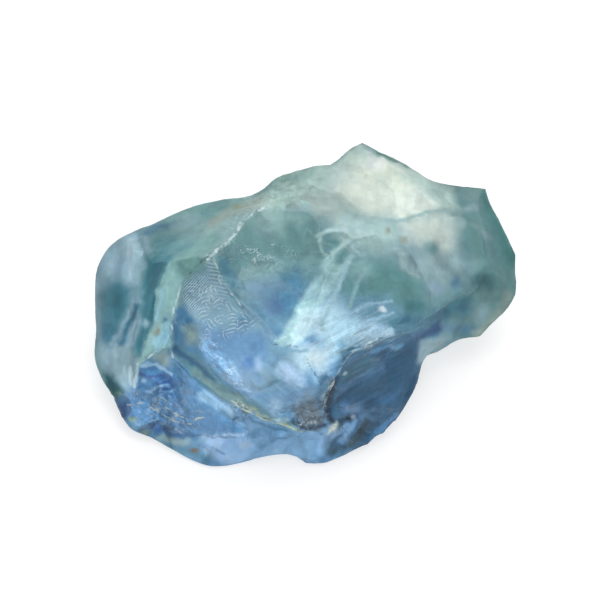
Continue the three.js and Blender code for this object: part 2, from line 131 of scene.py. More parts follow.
# how strongly each marking shows
SHOWN = {
    "prints": 0.46, "groove_shade": 0.4, "ladder": 0.3, "rays": 0.35, "veins": 0.35, "wear_and_sheen": 0.7,
    "flecks": 0.7, "glints": 0.6, "drawn": 0.6, "crest": 0.85, "seams": 0.75, "cracks": 0.6, "gold": 0.7,
}

# the stage: lengths in metres
FLOOR_HALF_SIDE = 0.6
FLOOR_ALBEDO = 0.46
FLOOR_GLOW = 0.58
FLOOR_ROUGHNESS = 0.9
WORLD_LIGHT = 0.68
LIGHT_DISTANCE = 0.3
# each light: which way it lies, the side of its square and its power
KEY_LIGHT = (0.18, 0.55, 0.8), 0.28, 0.5
FILL_LIGHT = (0.05, -0.75, 0.55), 0.2, 0.31
LENS = 300
SENSOR = 36

# small level moves of the outline: where on the face, how far around, and how far in x and y
NUDGES = [
    ((6.4,1.75), 0.9, (0.15,0)), ((2.9,-3.5), 1.1, (0.1,-0.1)),
    ((-5.5,-3.8), 1.3, (-0.16,-0.2)), ((-4.1,-4.4), 1.1, (0,-0.24)),
    ((-6.4,-1.9), 1.4, (-0.17,0)), ((-3.2,-4.8), 1.1, (0,-0.26)),
    ((0.6,-4.9), 1.3, (0,-0.16)), ((6.1,2.4), 1, (0.12,0)),
    ((3.4,-2.6), 1, (0.12,-0.04)), ((4.8,-1.25), 0.8, (0,0.14)),
]
# how soft the edges of three patches are, and lines and outlines on the face
LADDER_EDGE, PRINTS_EDGE, FOOT_EDGE = 0.1, 0.35, 0.2
KEEL = [(4.3,0), (3.63,-0.5), (2.56,-1.06), (1.84,-1.28), (1.31,-1.53), (1.06,-1.91),
        (0.84,-2.31), (0.66,-2.84), (0.5,-3.4)]
BEVEL = [(-4.15,0.8), (-4.4,0), (-4.6,-0.7), (-4.9,-1.4)]
LADDER = [(-3.1,1.3), (-2.85,1.4), (-2.35,0.3), (-2.6,0.1), (-2.95,0.4)]
PRINTS = [(-3.8,0.6), (-2.9,1), (-2.3,0.1), (-1.3,-0.5), (-1.8,-1), (-2.6,-1.2), (-3.2,-1.1)]

# The broad face's own frame: across, up the face and out of it, in mm from its origin.
LEAN = math.radians(40)
FACE_ORIGIN = np.array([-0.008, -0.551, 3])
FACE_AXES = np.array([
    [1, 0, 0],
    [0, math.cos(LEAN), math.sin(LEAN)],
    [0, -math.sin(LEAN), math.cos(LEAN)],
])


def to_face(points):
    """Points in mm in the frame's axes as across, up and out of the broad face."""
    return (points - FACE_ORIGIN) @ FACE_AXES.T


# The photo's frame, which the zones are drawn in: its width and middle, the face's origin and
# the pixels to a mm of the face.
PHOTO_WIDTH = 600
MIDDLE_PIXEL = (300, 300)
ORIGIN_PIXEL = (306, 304)
PIXELS_PER_MM = 32


def on_face(pixels):
    """Pixels of the photo as places across and up the broad face, in mm."""
    return (np.array(pixels) - ORIGIN_PIXEL) * (1, -1) / PIXELS_PER_MM


# ---- noise

def lattice(cell, seed):
    """A fixed random number from 0 to 1 for each whole-number cell."""
    x, y, z = (cell[:, i].astype(np.uint64) for i in range(3))
    h = x * np.uint64(73856093) ^ y * np.uint64(19349663) ^ z * np.uint64(83492791)
    h = (h ^ np.uint64(seed * 2654435761 % 2**32)) * np.uint64(0x9E3779B97F4A7C15)
    h = (h ^ (h >> np.uint64(29))) * np.uint64(0xBF58476D1CE4E5B9)
    return ((h ^ (h >> np.uint64(32))) & np.uint64(0xFFFFFF)).astype(float) / 0xFFFFFF


def soft_noise(points, size, seed, most=1):
    """Smooth noise from -most to most with features about `size` mm across."""
    place = points / size + 1000
    cell = np.floor(place)
    part = place - cell
    part = part * part * (3 - 2 * part)
    total = np.zeros(len(points))
    for corner in np.ndindex(2, 2, 2):
        weight = np.prod(np.where(np.array(corner) == 1, part, 1 - part), axis=1)
        total += weight * lattice(cell + corner, seed)
    return (total * 2 - 1) * most


def shards(points, size, seed, most):
    """Heights of a surface broken into small tilted flats, from about -most to most, and a
    random number for each flat."""
    place = points / size + 1000
    home = np.floor(place)
    nearest = np.full(len(points), np.inf)
    height = np.zeros(len(points))
    number = np.zeros(len(points))
    for step in np.ndindex(3, 3, 3):
        cell = home + np.array(step) - 1
        jitter = np.column_stack([lattice(cell, seed + i) for i in range(3)])
        away = place - (cell + jitter)
        distance = np.linalg.norm(away, axis=1)
        tilt = np.column_stack([lattice(cell, seed + 3 + i) for i in range(3)]) * 2 - 1
        level = lattice(cell, seed + 6) - 0.5
        closer = distance < nearest
        nearest = np.where(closer, distance, nearest)
        height = np.where(closer, np.sum(away * tilt, axis=1) + 0.5 * level, height)
        number = np.where(closer, lattice(cell, seed + 7), number)
    return height * most, number


# ---- meshing

def cad_skin(name):
    """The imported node's points in mm and its triangles, with shared points welded."""
    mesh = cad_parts[name].data
    points = np.empty(len(mesh.vertices) * 3)
    mesh.vertices.foreach_get("co", points)
    mesh.calc_loop_triangles()
    corners = np.empty(len(mesh.loop_triangles) * 3, dtype=np.int64)
    mesh.loop_triangles.foreach_get("vertices", corners)
    points = points.reshape(-1, 3) / MM
    _, first, merged = np.unique(
        np.round(points, 3), axis=0, return_index=True, return_inverse=True)
    return points[first], merged.ravel()[corners].reshape(-1, 3)


def edge_table(triangles):
    """Every edge once, as a pair of points, and each triangle's three edges."""
    pairs = np.sort(triangles[:, [[0, 1], [1, 2], [2, 0]]].reshape(-1, 2), axis=1)
    _, first, which = np.unique(
        pairs[:, 0] * (pairs.max() + 1) + pairs[:, 1], return_index=True, return_inverse=True)
    return pairs[first], which.reshape(-1, 3)


def facings(points, triangles):
    """Each triangle's normal, as long as twice its area."""
    a, b, c = (points[triangles[:, i]] for i in range(3))
    return np.cross(b - a, c - a)


def unit(vectors):
    return vectors / np.maximum(np.linalg.norm(vectors, axis=1, keepdims=True), 1e-12)


def point_normals(points, triangles):
    total = np.zeros_like(points)
    for i in range(3):
        np.add.at(total, triangles[:, i], facings(points, triangles))
    return unit(total)


def edge_turns(points, triangles):
    """Every edge, and the degrees that the surface turns at it."""
    edges, of_triangle = edge_table(triangles)
    normals = unit(facings(points, triangles))
    order = np.argsort(of_triangle.ravel(), kind="stable")
    one, two = (order.reshape(-1, 2) // 3).T
    cosine = np.sum(normals[one] * normals[two], axis=1)
    return edges, np.degrees(np.arccos(np.clip(cosine, -1, 1)))


def split(points, triangles, creases, wanted=None):
    """Halves the wanted edges, or all of them, and cuts the triangles beside them to fit.

    creases holds the point pairs that stay sharp, and comes back with its halves.
    """
    edges, of_triangle = edge_table(triangles)
    cut = np.ones(len(edges), dtype=bool) if wanted is None else wanted(points[edges])
    number = np.full(len(edges), -1)
    number[cut] = len(points) + np.arange(cut.sum())
    width = len(points) + 1
    crease_keys = creases[:, 0] * width + creases[:, 1]
    is_crease = np.isin(edges[:, 0] * width + edges[:, 1], crease_keys)
    halved, whole = is_crease & cut, is_crease & ~cut
    creases = np.vstack([
        np.column_stack([edges[halved, 0], number[halved]]),
        np.column_stack([edges[halved, 1], number[halved]]),
        edges[whole],
    ])
    points = np.vstack([points, points[edges[cut]].mean(axis=1)])
    middles = number[of_triangle]
    # turn each triangle so that its cut edges come first
    parts = [triangles[(middles < 0).all(axis=1)]]
    for turn in range(3):
        a, b, c = np.roll(triangles, -turn, axis=1).T
        ab, bc, ca = np.roll(middles, -turn, axis=1).T
        one = (ab >= 0) & (bc < 0) & (ca < 0)
        two = (ab >= 0) & (bc >= 0) & (ca < 0)
        for which, corners in (
                (one, (a, ab, c)), (one, (ab, b, c)),
                (two, (ab, b, bc)), (two, (a, ab, c)), (two, (ab, bc, c))):
            parts.append(np.column_stack(corners)[which])
    a, b, c = triangles.T
    ab, bc, ca = middles.T
    all_three = (middles >= 0).all(axis=1)
    for corners in ((a, ab, ca), (ab, b, bc), (ca, bc, c), (ab, bc, ca)):
        parts.append(np.column_stack(corners)[all_three])
    return points, np.vstack(parts), np.sort(creases, axis=1)


def neighbour_mean(values, edges):
    """The mean of each point's neighbours' values, and how many neighbours it has."""
    total = np.zeros_like(values)
    count = np.zeros(len(values))
    for one, two in (edges.T, edges[:, ::-1].T):
        np.add.at(total, one, values[two])
        np.add.at(count, one, 1)
    return (total.T / np.maximum(count, 1)).T, count


def relax(points, triangles, creases, rounds):
    """Smooths the faces, smooths the creases along themselves, and holds the creases' ends."""
    edges, _ = edge_table(triangles)
    for _ in range(rounds):
        mean, _ = neighbour_mean(points, edges)
        along, count = neighbour_mean(points, creases)
        goal = np.where((count == 0)[:, None], mean, np.where((count == 2)[:, None], along, points))
        points = points + (goal - points) * SMOOTHING
    return points


def near_view(ends):
    """Edges of the broad face's side, which get the finest mesh."""
    middle = to_face(ends.mean(axis=1))
    length = np.linalg.norm(ends[:, 0] - ends[:, 1], axis=1)
    return (middle[:, 2] > FINEST_DEPTH) & (length > FINEST_EDGE)


def fine_skin(name, crease_deg):
    points, triangles = cad_skin(name)
    edges, turns = edge_turns(points, triangles)
    creases = edges[turns > crease_deg]
    for _ in range(2):
        points, triangles, creases = split(points, triangles, creases)
        points = relax(points, triangles, creases, rounds=3)
    points, triangles, creases = split(points, triangles, creases, near_view)
    points = relax(points, triangles, creases, rounds=1)
    return points, triangles


def bulge(points, triangles):
    """How much each point stands out of its neighbours, in its own spacings."""
    edges, _ = edge_table(triangles)
    normals = point_normals(points, triangles)
    mean, count = neighbour_mean(points, edges)
    spacing = np.linalg.norm(points[edges[:, 0]] - points[edges[:, 1]], axis=1)
    reach = np.zeros(len(points))
    for i in range(2):
        np.add.at(reach, edges[:, i], spacing)
    reach = reach / np.maximum(count, 1)
    height = np.sum((points - mean) * normals, axis=1) / reach
    return (height + neighbour_mean(height, edges)[0]) / 2


def add_object(name, data):
    obj = bpy.data.objects.new(name, data)
    bpy.context.scene.collection.objects.link(obj)
    return obj


def make_mesh(name, points, triangles):
    mesh = bpy.data.meshes.new(name)
    mesh.vertices.add(len(points))
    mesh.vertices.foreach_set("co", (points * MM).ravel())
    mesh.loops.add(triangles.size)
    mesh.loops.foreach_set("vertex_index", triangles.ravel().astype(np.int32))
    mesh.polygons.add(len(triangles))
    mesh.polygons.foreach_set("loop_start", np.arange(0, triangles.size, 3, dtype=np.int32))
    mesh.polygons.foreach_set("use_smooth", np.ones(len(triangles), dtype=bool))
    mesh.update(calc_edges=True)
    mesh.validate()
    return add_object(name, mesh)


def set_attribute(name, values):
    attribute = stone.data.attributes.new(name, "FLOAT", "POINT")
    attribute.data.foreach_set("value", values.astype(np.float32))


# ---- shapes on the face

def fade(distance):
    """1 at no distance, falling smoothly to 0 at a distance of 1."""
    inside = np.clip(1 - distance, 0, 1)
    return inside * inside * (3 - 2 * inside)


def gap_to(place, line):
    """Distance from each place to a line of points."""
    line = np.array(line, dtype=float)
    nearest = np.full(len(place), np.inf)
    for start, end in zip(line[:-1], line[1:]):
        way = end - start
        part = np.clip(((place - start) @ way) / (way @ way), 0, 1)
        gap = np.linalg.norm(place - start - part[:, None] * way, axis=1)
        nearest = np.minimum(nearest, gap)
    return nearest


def within(place, outline):
    """Whether each place is inside a closed outline."""
    inside = np.zeros(len(place), dtype=bool)
    x, y = place.T
    for (x0, y0), (x1, y1) in zip(outline, np.roll(outline, -1, axis=0)):
        crosses = (y0 > y) != (y1 > y)
        rise = y1 - y0 if y1 != y0 else 1
        inside ^= crosses & (x < x0 + (y - y0) * (x1 - x0) / rise)
    return inside


def patch(place, outline, softness):
    """1 inside an outline, 0 outside it, changing smoothly across its edge."""
    gap = gap_to(place, np.vstack([outline, outline[:1]]))
    signed = np.where(within(place, outline), -gap, gap)
    return fade(0.5 + signed / (2 * softness))


def spot(place, middle, radii):
    """1 in the middle of an upright ellipse, falling smoothly to 0 at its rim."""
    return fade(np.hypot(*((place - middle) / radii).T))


def band(place, line, half_width):
    """1 on a line, falling smoothly to 0 at its half width."""
    return fade(gap_to(place, line) / half_width)


# ---- zones, in pixels of the photo

# the pale facet at the foot of the step
STEP_FOOT = [(316,280), (328,290), (312,325), (301,344), (284,346), (273,343), (286,330), (300,302)]

# What the stone's colour is where, with painted highlights and painted shade among the zones: a
# shape; a patch's softness, a band's half width or a spot's radii; the colour; and the patch's outline,
# the band's line or the spot's middle. Later zones cover earlier ones. The deep zones run through the
# stone, the skin ones are only on its front.
DEEP = [
    # the upper half's teal
    (patch, 10, (138,172,166), (140,232), (180,205), (240,188), (275,200), (255,222), (215,258), (180,270),
     (158,262)),
    (patch, 8, (110,156,156), (160,240), (200,238), (195,255), (172,268), (158,262)),
    (patch, 6, (122,164,162), (190,218), (200,207), (225,204), (228,212), (212,220)),
    (patch, 10, (180,202,188), (255,200), (280,174), (310,163), (335,164), (350,175), (345,200), (320,212),
     (290,212), (265,212)),
    (patch, 7, (146,180,170), (260,192), (282,174), (312,167), (317,175), (297,181), (280,187)),
    (patch, 10, (125,160,157), (232,240), (265,212), (310,212), (322,225), (318,262), (300,280), (250,278),
     (230,262)),
    (patch, 9, (162,196,190), (252,220), (268,208), (300,206), (308,218), (290,234), (262,236)),
    (band, 12, (114,149,148), (290,228), (300,258), (290,285)),
    (spot, (10,9), (144,176,176), (234,251)),
    (patch, 12, (98,134,132), (345,270), (400,262), (425,290), (412,306), (370,303), (340,292)),
    (spot, (22,18), (134,170,166), (361,271)),
    (spot, (17,9), (146,170,158), (280,201)),
    # the pale window and the smaller pale place below it
    (patch, 6, (206,224,212), (326,180), (348,149), (360,142), (370,150), (356,176), (338,188)),
    (patch, 9, (224,231,214), (330,192), (346,174), (366,154), (388,153), (412,168), (446,188), (448,206),
     (400,224), (372,216), (346,208)),
    (spot, (16,11), (255,255,250), (376,162)),
    (spot, (16,10), (232,240,224), (356,180)),
    (spot, (13,13), (240,248,232), (352,196)),
    (spot, (20,13), (252,255,246), (422,199)),
    (patch, 8, (234,241,227), (395,195), (412,184), (432,190), (430,206), (400,218)),
    (patch, 12, (176,202,194), (335,210), (398,222), (399,240), (385,254), (352,250), (335,235)),
    (patch, 8, (178,194,182), (306,200), (338,194), (352,208), (340,219), (316,215)),
    (patch, 7, (194,214,202), (412,168), (440,182), (456,188), (458,206), (444,212), (428,194), (408,179)),
    (patch, 12, (246,255,242), (404,224), (440,215), (454,214), (455,240), (452,262), (444,262), (438,242),
     (415,242), (404,234)),
    # the right end, smoky in one place
    (patch, 12, (114,148,146), (460,184), (490,185), (520,250), (518,300), (492,328), (470,300), (464,260),
     (464,215)),
    (band, 12, (96,138,132), (490,192), (509,245), (518,262)),
    (band, 5, (134,160,158), (474,222), (491,238)),
    (band, 6, (142,167,170), (452,212), (478,207)),
    (patch, 14, (146,172,174), (386,244), (440,250), (474,262), (468,284), (440,286), (418,274), (400,260)),
    (patch, 4, (174,200,198), (396,250), (408,254), (420,276), (410,274), (402,266)),
    (spot, (15,12), (178,204,204), (455,262)),
    (spot, (10,9), (178,200,196), (460,222)),
    (spot, (12,10), (114,148,150), (433,248)),
    (spot, (10,12), (98,130,148), (456,284)),
    (spot, (13,10), (136,162,180), (436,288)),
    (spot, (18,15), (156,184,190), (484,314)),
    (spot, (14,14), (122,154,152), (500,298)),
    (spot, (19,17), (74,104,106), (487,281)),
    (spot, (18,15), (70,110,124), (463,306)),
    (band, 9, (102,138,158), (446,326), (472,329)),
    (band, 9, (152,170,160), (512,296), (506,312), (488,326), (478,336)),
    (spot, (24,14), (78,114,118), (416,306)),
    (band, 14, (74,110,126), (392,322), (425,320), (447,311)),
    # the blue heart of the broad face and the glow at its foot
    (patch, 10, (92,136,158), (252,288), (300,270), (308,290), (290,325), (278,337), (260,320)),
    (spot, (18,20), (60,108,142), (276,306)),
    (spot, (12,11), (110,150,168), (254,288)),
    (patch, 12, (106,142,160), (262,345), (300,350), (300,385), (270,390), (250,372)),
    (patch, 13, (190,224,232), (314,306), (334,303), (352,318), (380,330), (384,338), (352,350), (330,348),
     (316,332)),
    (patch, 8, (190,222,240), (352,336), (372,322), (383,325), (387,332), (362,347), (345,344)),
    (patch, 9, (104,142,158), (350,302), (390,294), (400,318), (386,322), (362,316)),
    (patch, 13, (222,250,255), (296,350), (330,346), (334,354), (322,368), (302,368)),
    (band, 6, (146,184,208), (312,372), (316,380)),
    (spot, (17,13), (236,253,255), (318,357)),
    (band, 12, (196,228,255), (283,369), (298,380)),
    (spot, (13,18), (216,244,250), (319,323)),
    (spot, (12,9), (128,172,196), (341,342)),
    # the fingerprinted facet left of the seam
    (patch, 5, (136,170,182), (186,284), (212,262), (232,298), (262,320), (278,345), (262,372), (236,372),
     (205,340), (184,312)),
    (patch, 10, (110,150,186), (198,325), (265,330), (272,360), (250,378), (225,362), (204,343)),
    (spot, (17,12), (96,138,166), (244,320)),
    (spot, (12,12), (74,122,180), (249,363)),
    (spot, (6,11), (158,188,222), (259,362)),
    (patch, 5, (76,118,148), (176,308), (184,304), (197,330), (206,350), (202,366), (180,354), (173,335)),
    # the left end
    (patch, 8, (158,190,200), (92,250), (130,233), (148,236), (150,262), (142,300), (150,345), (140,365),
     (125,394), (103,378), (92,320)),
    (band, 9, (186,214,226), (134,238), (131,268), (128,296)),
    (band, 6, (146,178,190), (120,242), (119,266), (116,284)),
    (spot, (13,15), (166,196,208), (106,264)),
    (patch, 11, (92,132,144), (94,284), (120,276), (136,288), (128,318), (112,346), (96,340)),
    (spot, (13,15), (146,180,190), (99,282)),
    (spot, (18,26), (72,112,120), (116,302)),
    (spot, (13,19), (82,126,143), (107,332)),
    (patch, 8, (120,148,156), (122,345), (140,334), (141,360), (134,376), (118,376), (111,362)),
    (patch, 5, (60,96,98), (102,373), (115,377), (127,392), (118,404), (106,392)),
    (spot, (6,6), (110,130,112), (118,395)),
    # the deep blue low facets
    (patch, 7, (88,130,170), (114,400), (140,392), (185,396), (205,410), (195,432), (160,434), (128,418)),
    (spot, (18,22), (46,82,118), (122,414)),
    (band, 10, (92,130,152), (128,428), (180,447), (205,459)),
    (patch, 5, (62,124,172), (140,366), (152,361), (172,366), (183,378), (185,395), (168,399), (150,394),
     (135,391)),
    (spot, (17,15), (8,80,132), (167,384)),
    (band, 6, (62,108,152), (150,426), (180,435), (196,437)),
    (patch, 4, (90,126,164), (191,415), (205,410), (235,418), (241,432), (200,435), (189,429)),
    (band, 5, (84,128,168), (215,416), (239,429)),
    # the bottom facets' painted highlight: a pale patch, a line and two bright spots
    (patch, 4, (150,188,224), (203,439), (250,436), (259,450), (241,465), (222,464), (208,450)),
    (band, 3.5, (146,178,216), (206,439), (224,440), (246,438)),
    (spot, (10,8), (206,230,255), (246,444)),
    (spot, (7,6), (190,218,252), (226,455)),
    (patch, 6, (104,142,174), (262,412), (300,432), (326,432), (330,462), (300,464), (260,456)),
    (spot, (12,12), (134,174,206), (260,438)),
    # the navy facet beyond the keel: its own deep blue, darkened further with painted shade as a steep
    # facet
    (patch, 5, (52,88,112), (345,353), (365,348), (400,340), (420,331), (423,350), (428,378), (420,402),
     (398,424), (382,448), (350,452), (333,453), (324,457), (328,432), (330,420), (322,412), (328,385),
     (338,372)),
    (patch, 8, (32,76,104), (372,354), (415,344), (414,376), (378,380)),
    (patch, 8, (62,96,110), (342,352), (362,352), (376,362), (366,377), (350,384), (338,376)),
    (patch, 6, (58,96,124), (372,395), (405,384), (397,406), (376,413)),
    (spot, (20,11), (104,128,156), (352,407)),
    (spot, (12,10), (90,118,144), (366,418)),
    (band, 7, (60,74,78), (350,445), (368,423)),
    (band, 5, (88,124,158), (372,440), (384,428), (394,416)),
    (patch, 4, (38,78,116), (417,333), (441,319), (443,330), (420,343)),
    (patch, 4, (134,160,166), (421,343), (447,335), (444,349), (426,366), (418,364)),
]

SKIN = [
    # along the top edge
    (band, 10, (150,165,152), (213,222), (240,208), (264,200)),
    (spot, (8,5), (142,152,122), (236,208)),
    (spot, (28,11), (166,200,200), (186,221)),
    (patch, 4, (98,132,150), (138,234), (150,225), (172,221), (166,229), (154,234), (146,238)),
    (band, 4, (160,188,184), (385,222), (405,219), (430,213), (460,210)),
    (band, 4, (98,138,124), (378,150), (400,160), (422,171)),
    # the step down the middle
    (patch, 5, (140,176,172), (324,262), (346,264), (334,292), (310,292)),
    # the pale web where the step begins, and loops beside the crest
    (band, 4, (178,208,204), (316,237), (324,231), (335,229), (350,230), (360,233)),
    (spot, (10,7), (98,136,134), (334,243)),
    (spot, (6,9), (104,142,140), (342,256)),
    (band, 3.6, (168,200,194), (322,233), (320,242), (321,251), (331,260), (336,252), (344,244), (352,240)),
    (band, 5, (160,194,190), (331,260), (326,272), (316,292)),
    (band, 4, (160,194,190), (352,256), (340,270), (328,286), (320,300)),
    (band, 4, (138,172,168), (366,270), (356,290), (350,306)),
    (band, 3, (180,206,206), (350,243), (354,250), (359,254)),
    (spot, (7,6), (170,198,190), (356,240)),
    (band, 2.6, (140,176,172), (304,236), (309,230), (314,236)),
    (spot, (8,7), (178,206,204), (346,219)),
    (band, 3, (150,184,176), (261,229), (268,216), (276,208)),
    (band, 3.4, (158,192,188), (282,206), (285,213), (292,216), (300,211), (305,204)),
    (patch, 4, (176,206,206), *STEP_FOOT),
    (patch, 4, (224,250,252), (301,312), (317,312), (311,332), (302,340), (288,345), (296,330)),
    (band, 5, (156,188,192), (348,264), (332,300), (323,330)),
    (band, 3.5, (120,158,174), (272,349), (290,351), (307,351)),
    # left end: streaks, the valley darkened with painted shade, the mint bevel and the green band above it
    (band, 4, (166,194,204), (144,238), (149,250), (153,260)),
    (band, 9, (68,108,122), (150,302), (146,322), (139,342)),
    (band, 5, (156,188,200), (148,280), (138,300), (126,322), (113,344)),
    (band, 7, (76,118,138), (138,308), (130,324), (121,342)),
    (band, 4, (136,168,178), (140,236), (144,250), (149,266)),
    (band, 3, (144,172,178), (122,368), (125,382)),
    (band, 3, (184,208,210), (129,368), (132,386)),
    (band, 3, (214,232,234), (138,364), (135,388)),
    (patch, 10, (108,154,156), (152,238), (174,236), (174,254), (162,266), (150,266)),
    # the valley beside the bevel, dark with painted shade
    (patch, 8, (50,116,126), (147,258), (170,256), (165,278), (161,298), (156,322), (147,344), (137,357),
     (133,348), (145,328), (142,305), (141,288), (146,272)),
    (spot, (6,6), (148,186,196), (146,322)),
    (patch, 3, (152,192,186), (169,264), (184,260), (190,272), (184,285), (178,300), (174,328), (170,346),
     (150,353), (137,367), (135,362), (148,345), (154,318), (157,290)),
    (patch, 5, (118,158,148), (172,264), (190,249), (215,231), (223,238), (206,258), (188,281)),
    # a painted highlight along the bevel's left edge
    (band, 3.5, (160,208,216), (165,286), (161,300), (157,318)),
    (patch, 4, (166,216,228), (155,341), (168,323), (174,325), (169,342), (158,349)),
    (spot, (6,4), (80,122,154), (168,320)),
    (spot, (5,8), (156,156,128), (158,331)),
    # left of the seam: a dark sliver, the sparkling foot, khaki stains
    (patch, 4, (98,138,152), (219,256), (228,258), (242,288), (234,290), (226,280)),
    # the foot's bright band, a painted highlight
    (band, 7, (150,200,240), (206,347), (225,363), (237,373)),
    (spot, (15,9), (106,148,182), (254,376)),
    (patch, 6, (132,154,146), (183,327), (197,328), (202,342), (190,344)),
    (patch, 4, (150,172,168), (153,354), (166,351), (173,360), (165,367), (156,361)),
    # the sage band with painted shade along its upper edge, and the sky-blue band under it, a painted
    # highlight
    (patch, 5, (98,130,134), (172,349), (182,344), (215,371), (240,394), (262,405), (298,427), (292,431),
     (262,415), (238,408), (205,387), (180,367)),
    (band, 2.6, (148,160,136), (238,401), (262,413), (282,423), (300,431)),
    (band, 2.6, (84,112,136), (246,414), (268,424), (286,431)),
    # painted shade along the sage band's upper edge
    (band, 6, (58,94,118), (174,347), (192,362), (213,379)),
    (band, 6, (118,146,140), (195,371), (222,393), (241,399)),
    (patch, 5, (94,138,176), (172,358), (180,362), (200,386), (228,406), (244,416), (225,415), (200,406),
     (184,396), (183,380)),
    # the sky-blue band's brightest part, a painted highlight
    (band, 8, (168,216,246), (203,394), (231,409)),
    # the bowl: a painted highlight along its rim and painted glints inside it
    (band, 3, (168,206,234), (142,366), (152,363), (166,369), (172,374)),
    (band, 3, (140,184,222), (149,392), (158,387), (169,384)),
    (band, 2.5, (120,166,208), (154,398), (166,392), (176,390)),
    (spot, (5,4), (150,172,186), (144,380)),
    (band, 2, (72,116,160), (180,390), (184,404)),
    (band, 2, (72,116,160), (174,394), (177,406)),
    (band, 3, (52,88,140), (140,374), (152,376), (165,374)),
    (band, 6, (144,172,172), (162,436), (188,443)),
    (spot, (7,3.5), (124,104,74), (197,452)),
    (spot, (9,5), (132,152,128), (133,418)),
    (spot, (7,4), (136,156,130), (146,431)),
    (band, 3.5, (104,140,172), (237,406), (246,420), (254,436)),
    # a painted highlight line on the bottom facets
    (band, 2.5, (166,194,224), (224,434), (244,434)),
    (band, 2.5, (96,132,172), (200,446), (212,449), (224,453)),
    (band, 4, (118,158,200), (322,434), (317,452)),
    (spot, (14,8), (78,112,144), (322,458)),
    (spot, (10,9), (50,74,84), (333,451)),
    # the brown-grey patch, the crack and the chips at the keel's foot
    (spot, (12,14), (146,178,200), (276,404)),
    (spot, (10,6), (156,186,194), (279,419)),
    (patch, 8, (108,128,144), (299,396), (307,388), (320,394), (320,424), (303,428), (297,416)),
    (band, 7, (88,116,138), (324,376), (319,392), (320,408)),
    (patch, 7, (106,114,120), (292,406), (304,400), (320,406), (322,424), (300,428)),
    (band, 4.5, (52,60,76), (292,419), (304,426), (324,425)),
    (band, 6, (16,34,50), (336,378), (332,386), (328,400), (326,412), (330,421)),
    (band, 3, (126,142,152), (333,374), (327,388), (323,400)),
    (spot, (3.5,3), (170,186,188), (346,372)),
    (band, 4, (40,62,74), (338,418), (351,418)),
    (patch, 3, (208,215,198), (326,434), (330,426), (335,420), (337,424), (333,432)),
    (spot, (4,3.5), (178,188,203), (353,417)),
    # two paler blue bands below the chips, a painted highlight
    (band, 6, (104,138,174), (340,441), (347,431), (355,421)),
    (band, 4.5, (108,140,172), (329,438), (338,431), (346,424)),
    (band, 4, (86,126,156), (370,353), (384,349), (400,345)),
    (band, 7, (74,106,130), (343,388), (362,377), (380,369)),
    (band, 5, (78,112,136), (346,361), (366,352)),
    # thin bright streaks across the glow, a painted highlight
    (band, 2.2, (152,186,202), (336,320), (356,310), (376,304), (392,299)),
    (band, 2.2, (156,190,208), (348,330), (370,319), (392,312)),
    # a small white spot, a painted glint
    (spot, (5,5), (250,255,255), (383,308)),
    (spot, (5,6), (150,152,130), (388,231)),
    (spot, (7,6), (160,160,138), (406,241)),
    # a bright band, a painted highlight
    (band, 6, (206,238,252), (357,346), (374,339), (389,331)),
    (band, 7, (72,106,130), (394,339), (420,332)),
    (band, 4, (84,116,134), (350,349), (372,343), (400,334), (428,320)),
]

PALE_LINES = [
    [(208,259), (215,254), (222,249), (229,240), (236,232), (242,223), (248,217), (256,212), (267,207)],
    [(222,250), (227,246), (232,236), (239,228)],
    [(212,259), (216,268), (220,280), (228,293), (238,304), (247,312)],
    [(184,284), (180,298), (176,308), (174,325), (170,345), (173,357)],
    [(300,322), (290,336), (275,342)],
    [(361,346), (386,333)],
    [(345,352), (358,348), (372,345)],
    [(346,352), (337,370), (330,385), (325,395), (321,412)],
    [(138,366), (134,388)],
    [(157,350), (146,358), (137,366)],
]

DARK_LINES = [
    [(190,276), (205,260), (221,247)],
    [(337,376), (330,392), (327,410), (330,422)],
    [(299,431), (326,428)],
    [(274,345), (286,347), (298,346)],
    [(305,356), (311,368), (319,381)],
    [(255,409), (277,421)],
    [(190,436), (242,436)],
    [(177,312), (186,326), (197,336)],
    [(199,446), (212,449)],
]

GOLD_LINES = [
    [(137,402), (146,403), (151,406), (160,412), (170,418), (179,423)],
    [(183,423), (190,425), (197,417)],
    [(128,405), (137,404)],
    [(156,398), (160,404), (158,410)],
    [(166,412), (173,410), (180,416)],
    [(205,415), (197,417), (192,424)],
    [(152,410), (165,406), (178,412), (186,418), (192,421), (205,415)],
    [(150,392), (162,398), (173,404)],
    [(232,400), (245,408), (258,414), (280,423), (298,431)],
    [(187,425), (196,420)],
]

CREST_LINES = PALE_LINES[:2]
CREST_EDGE = on_face(PALE_LINES[0])
BEVEL_EDGE = on_face(PALE_LINES[3])
KEEL_EDGE = on_face(PALE_LINES[7])

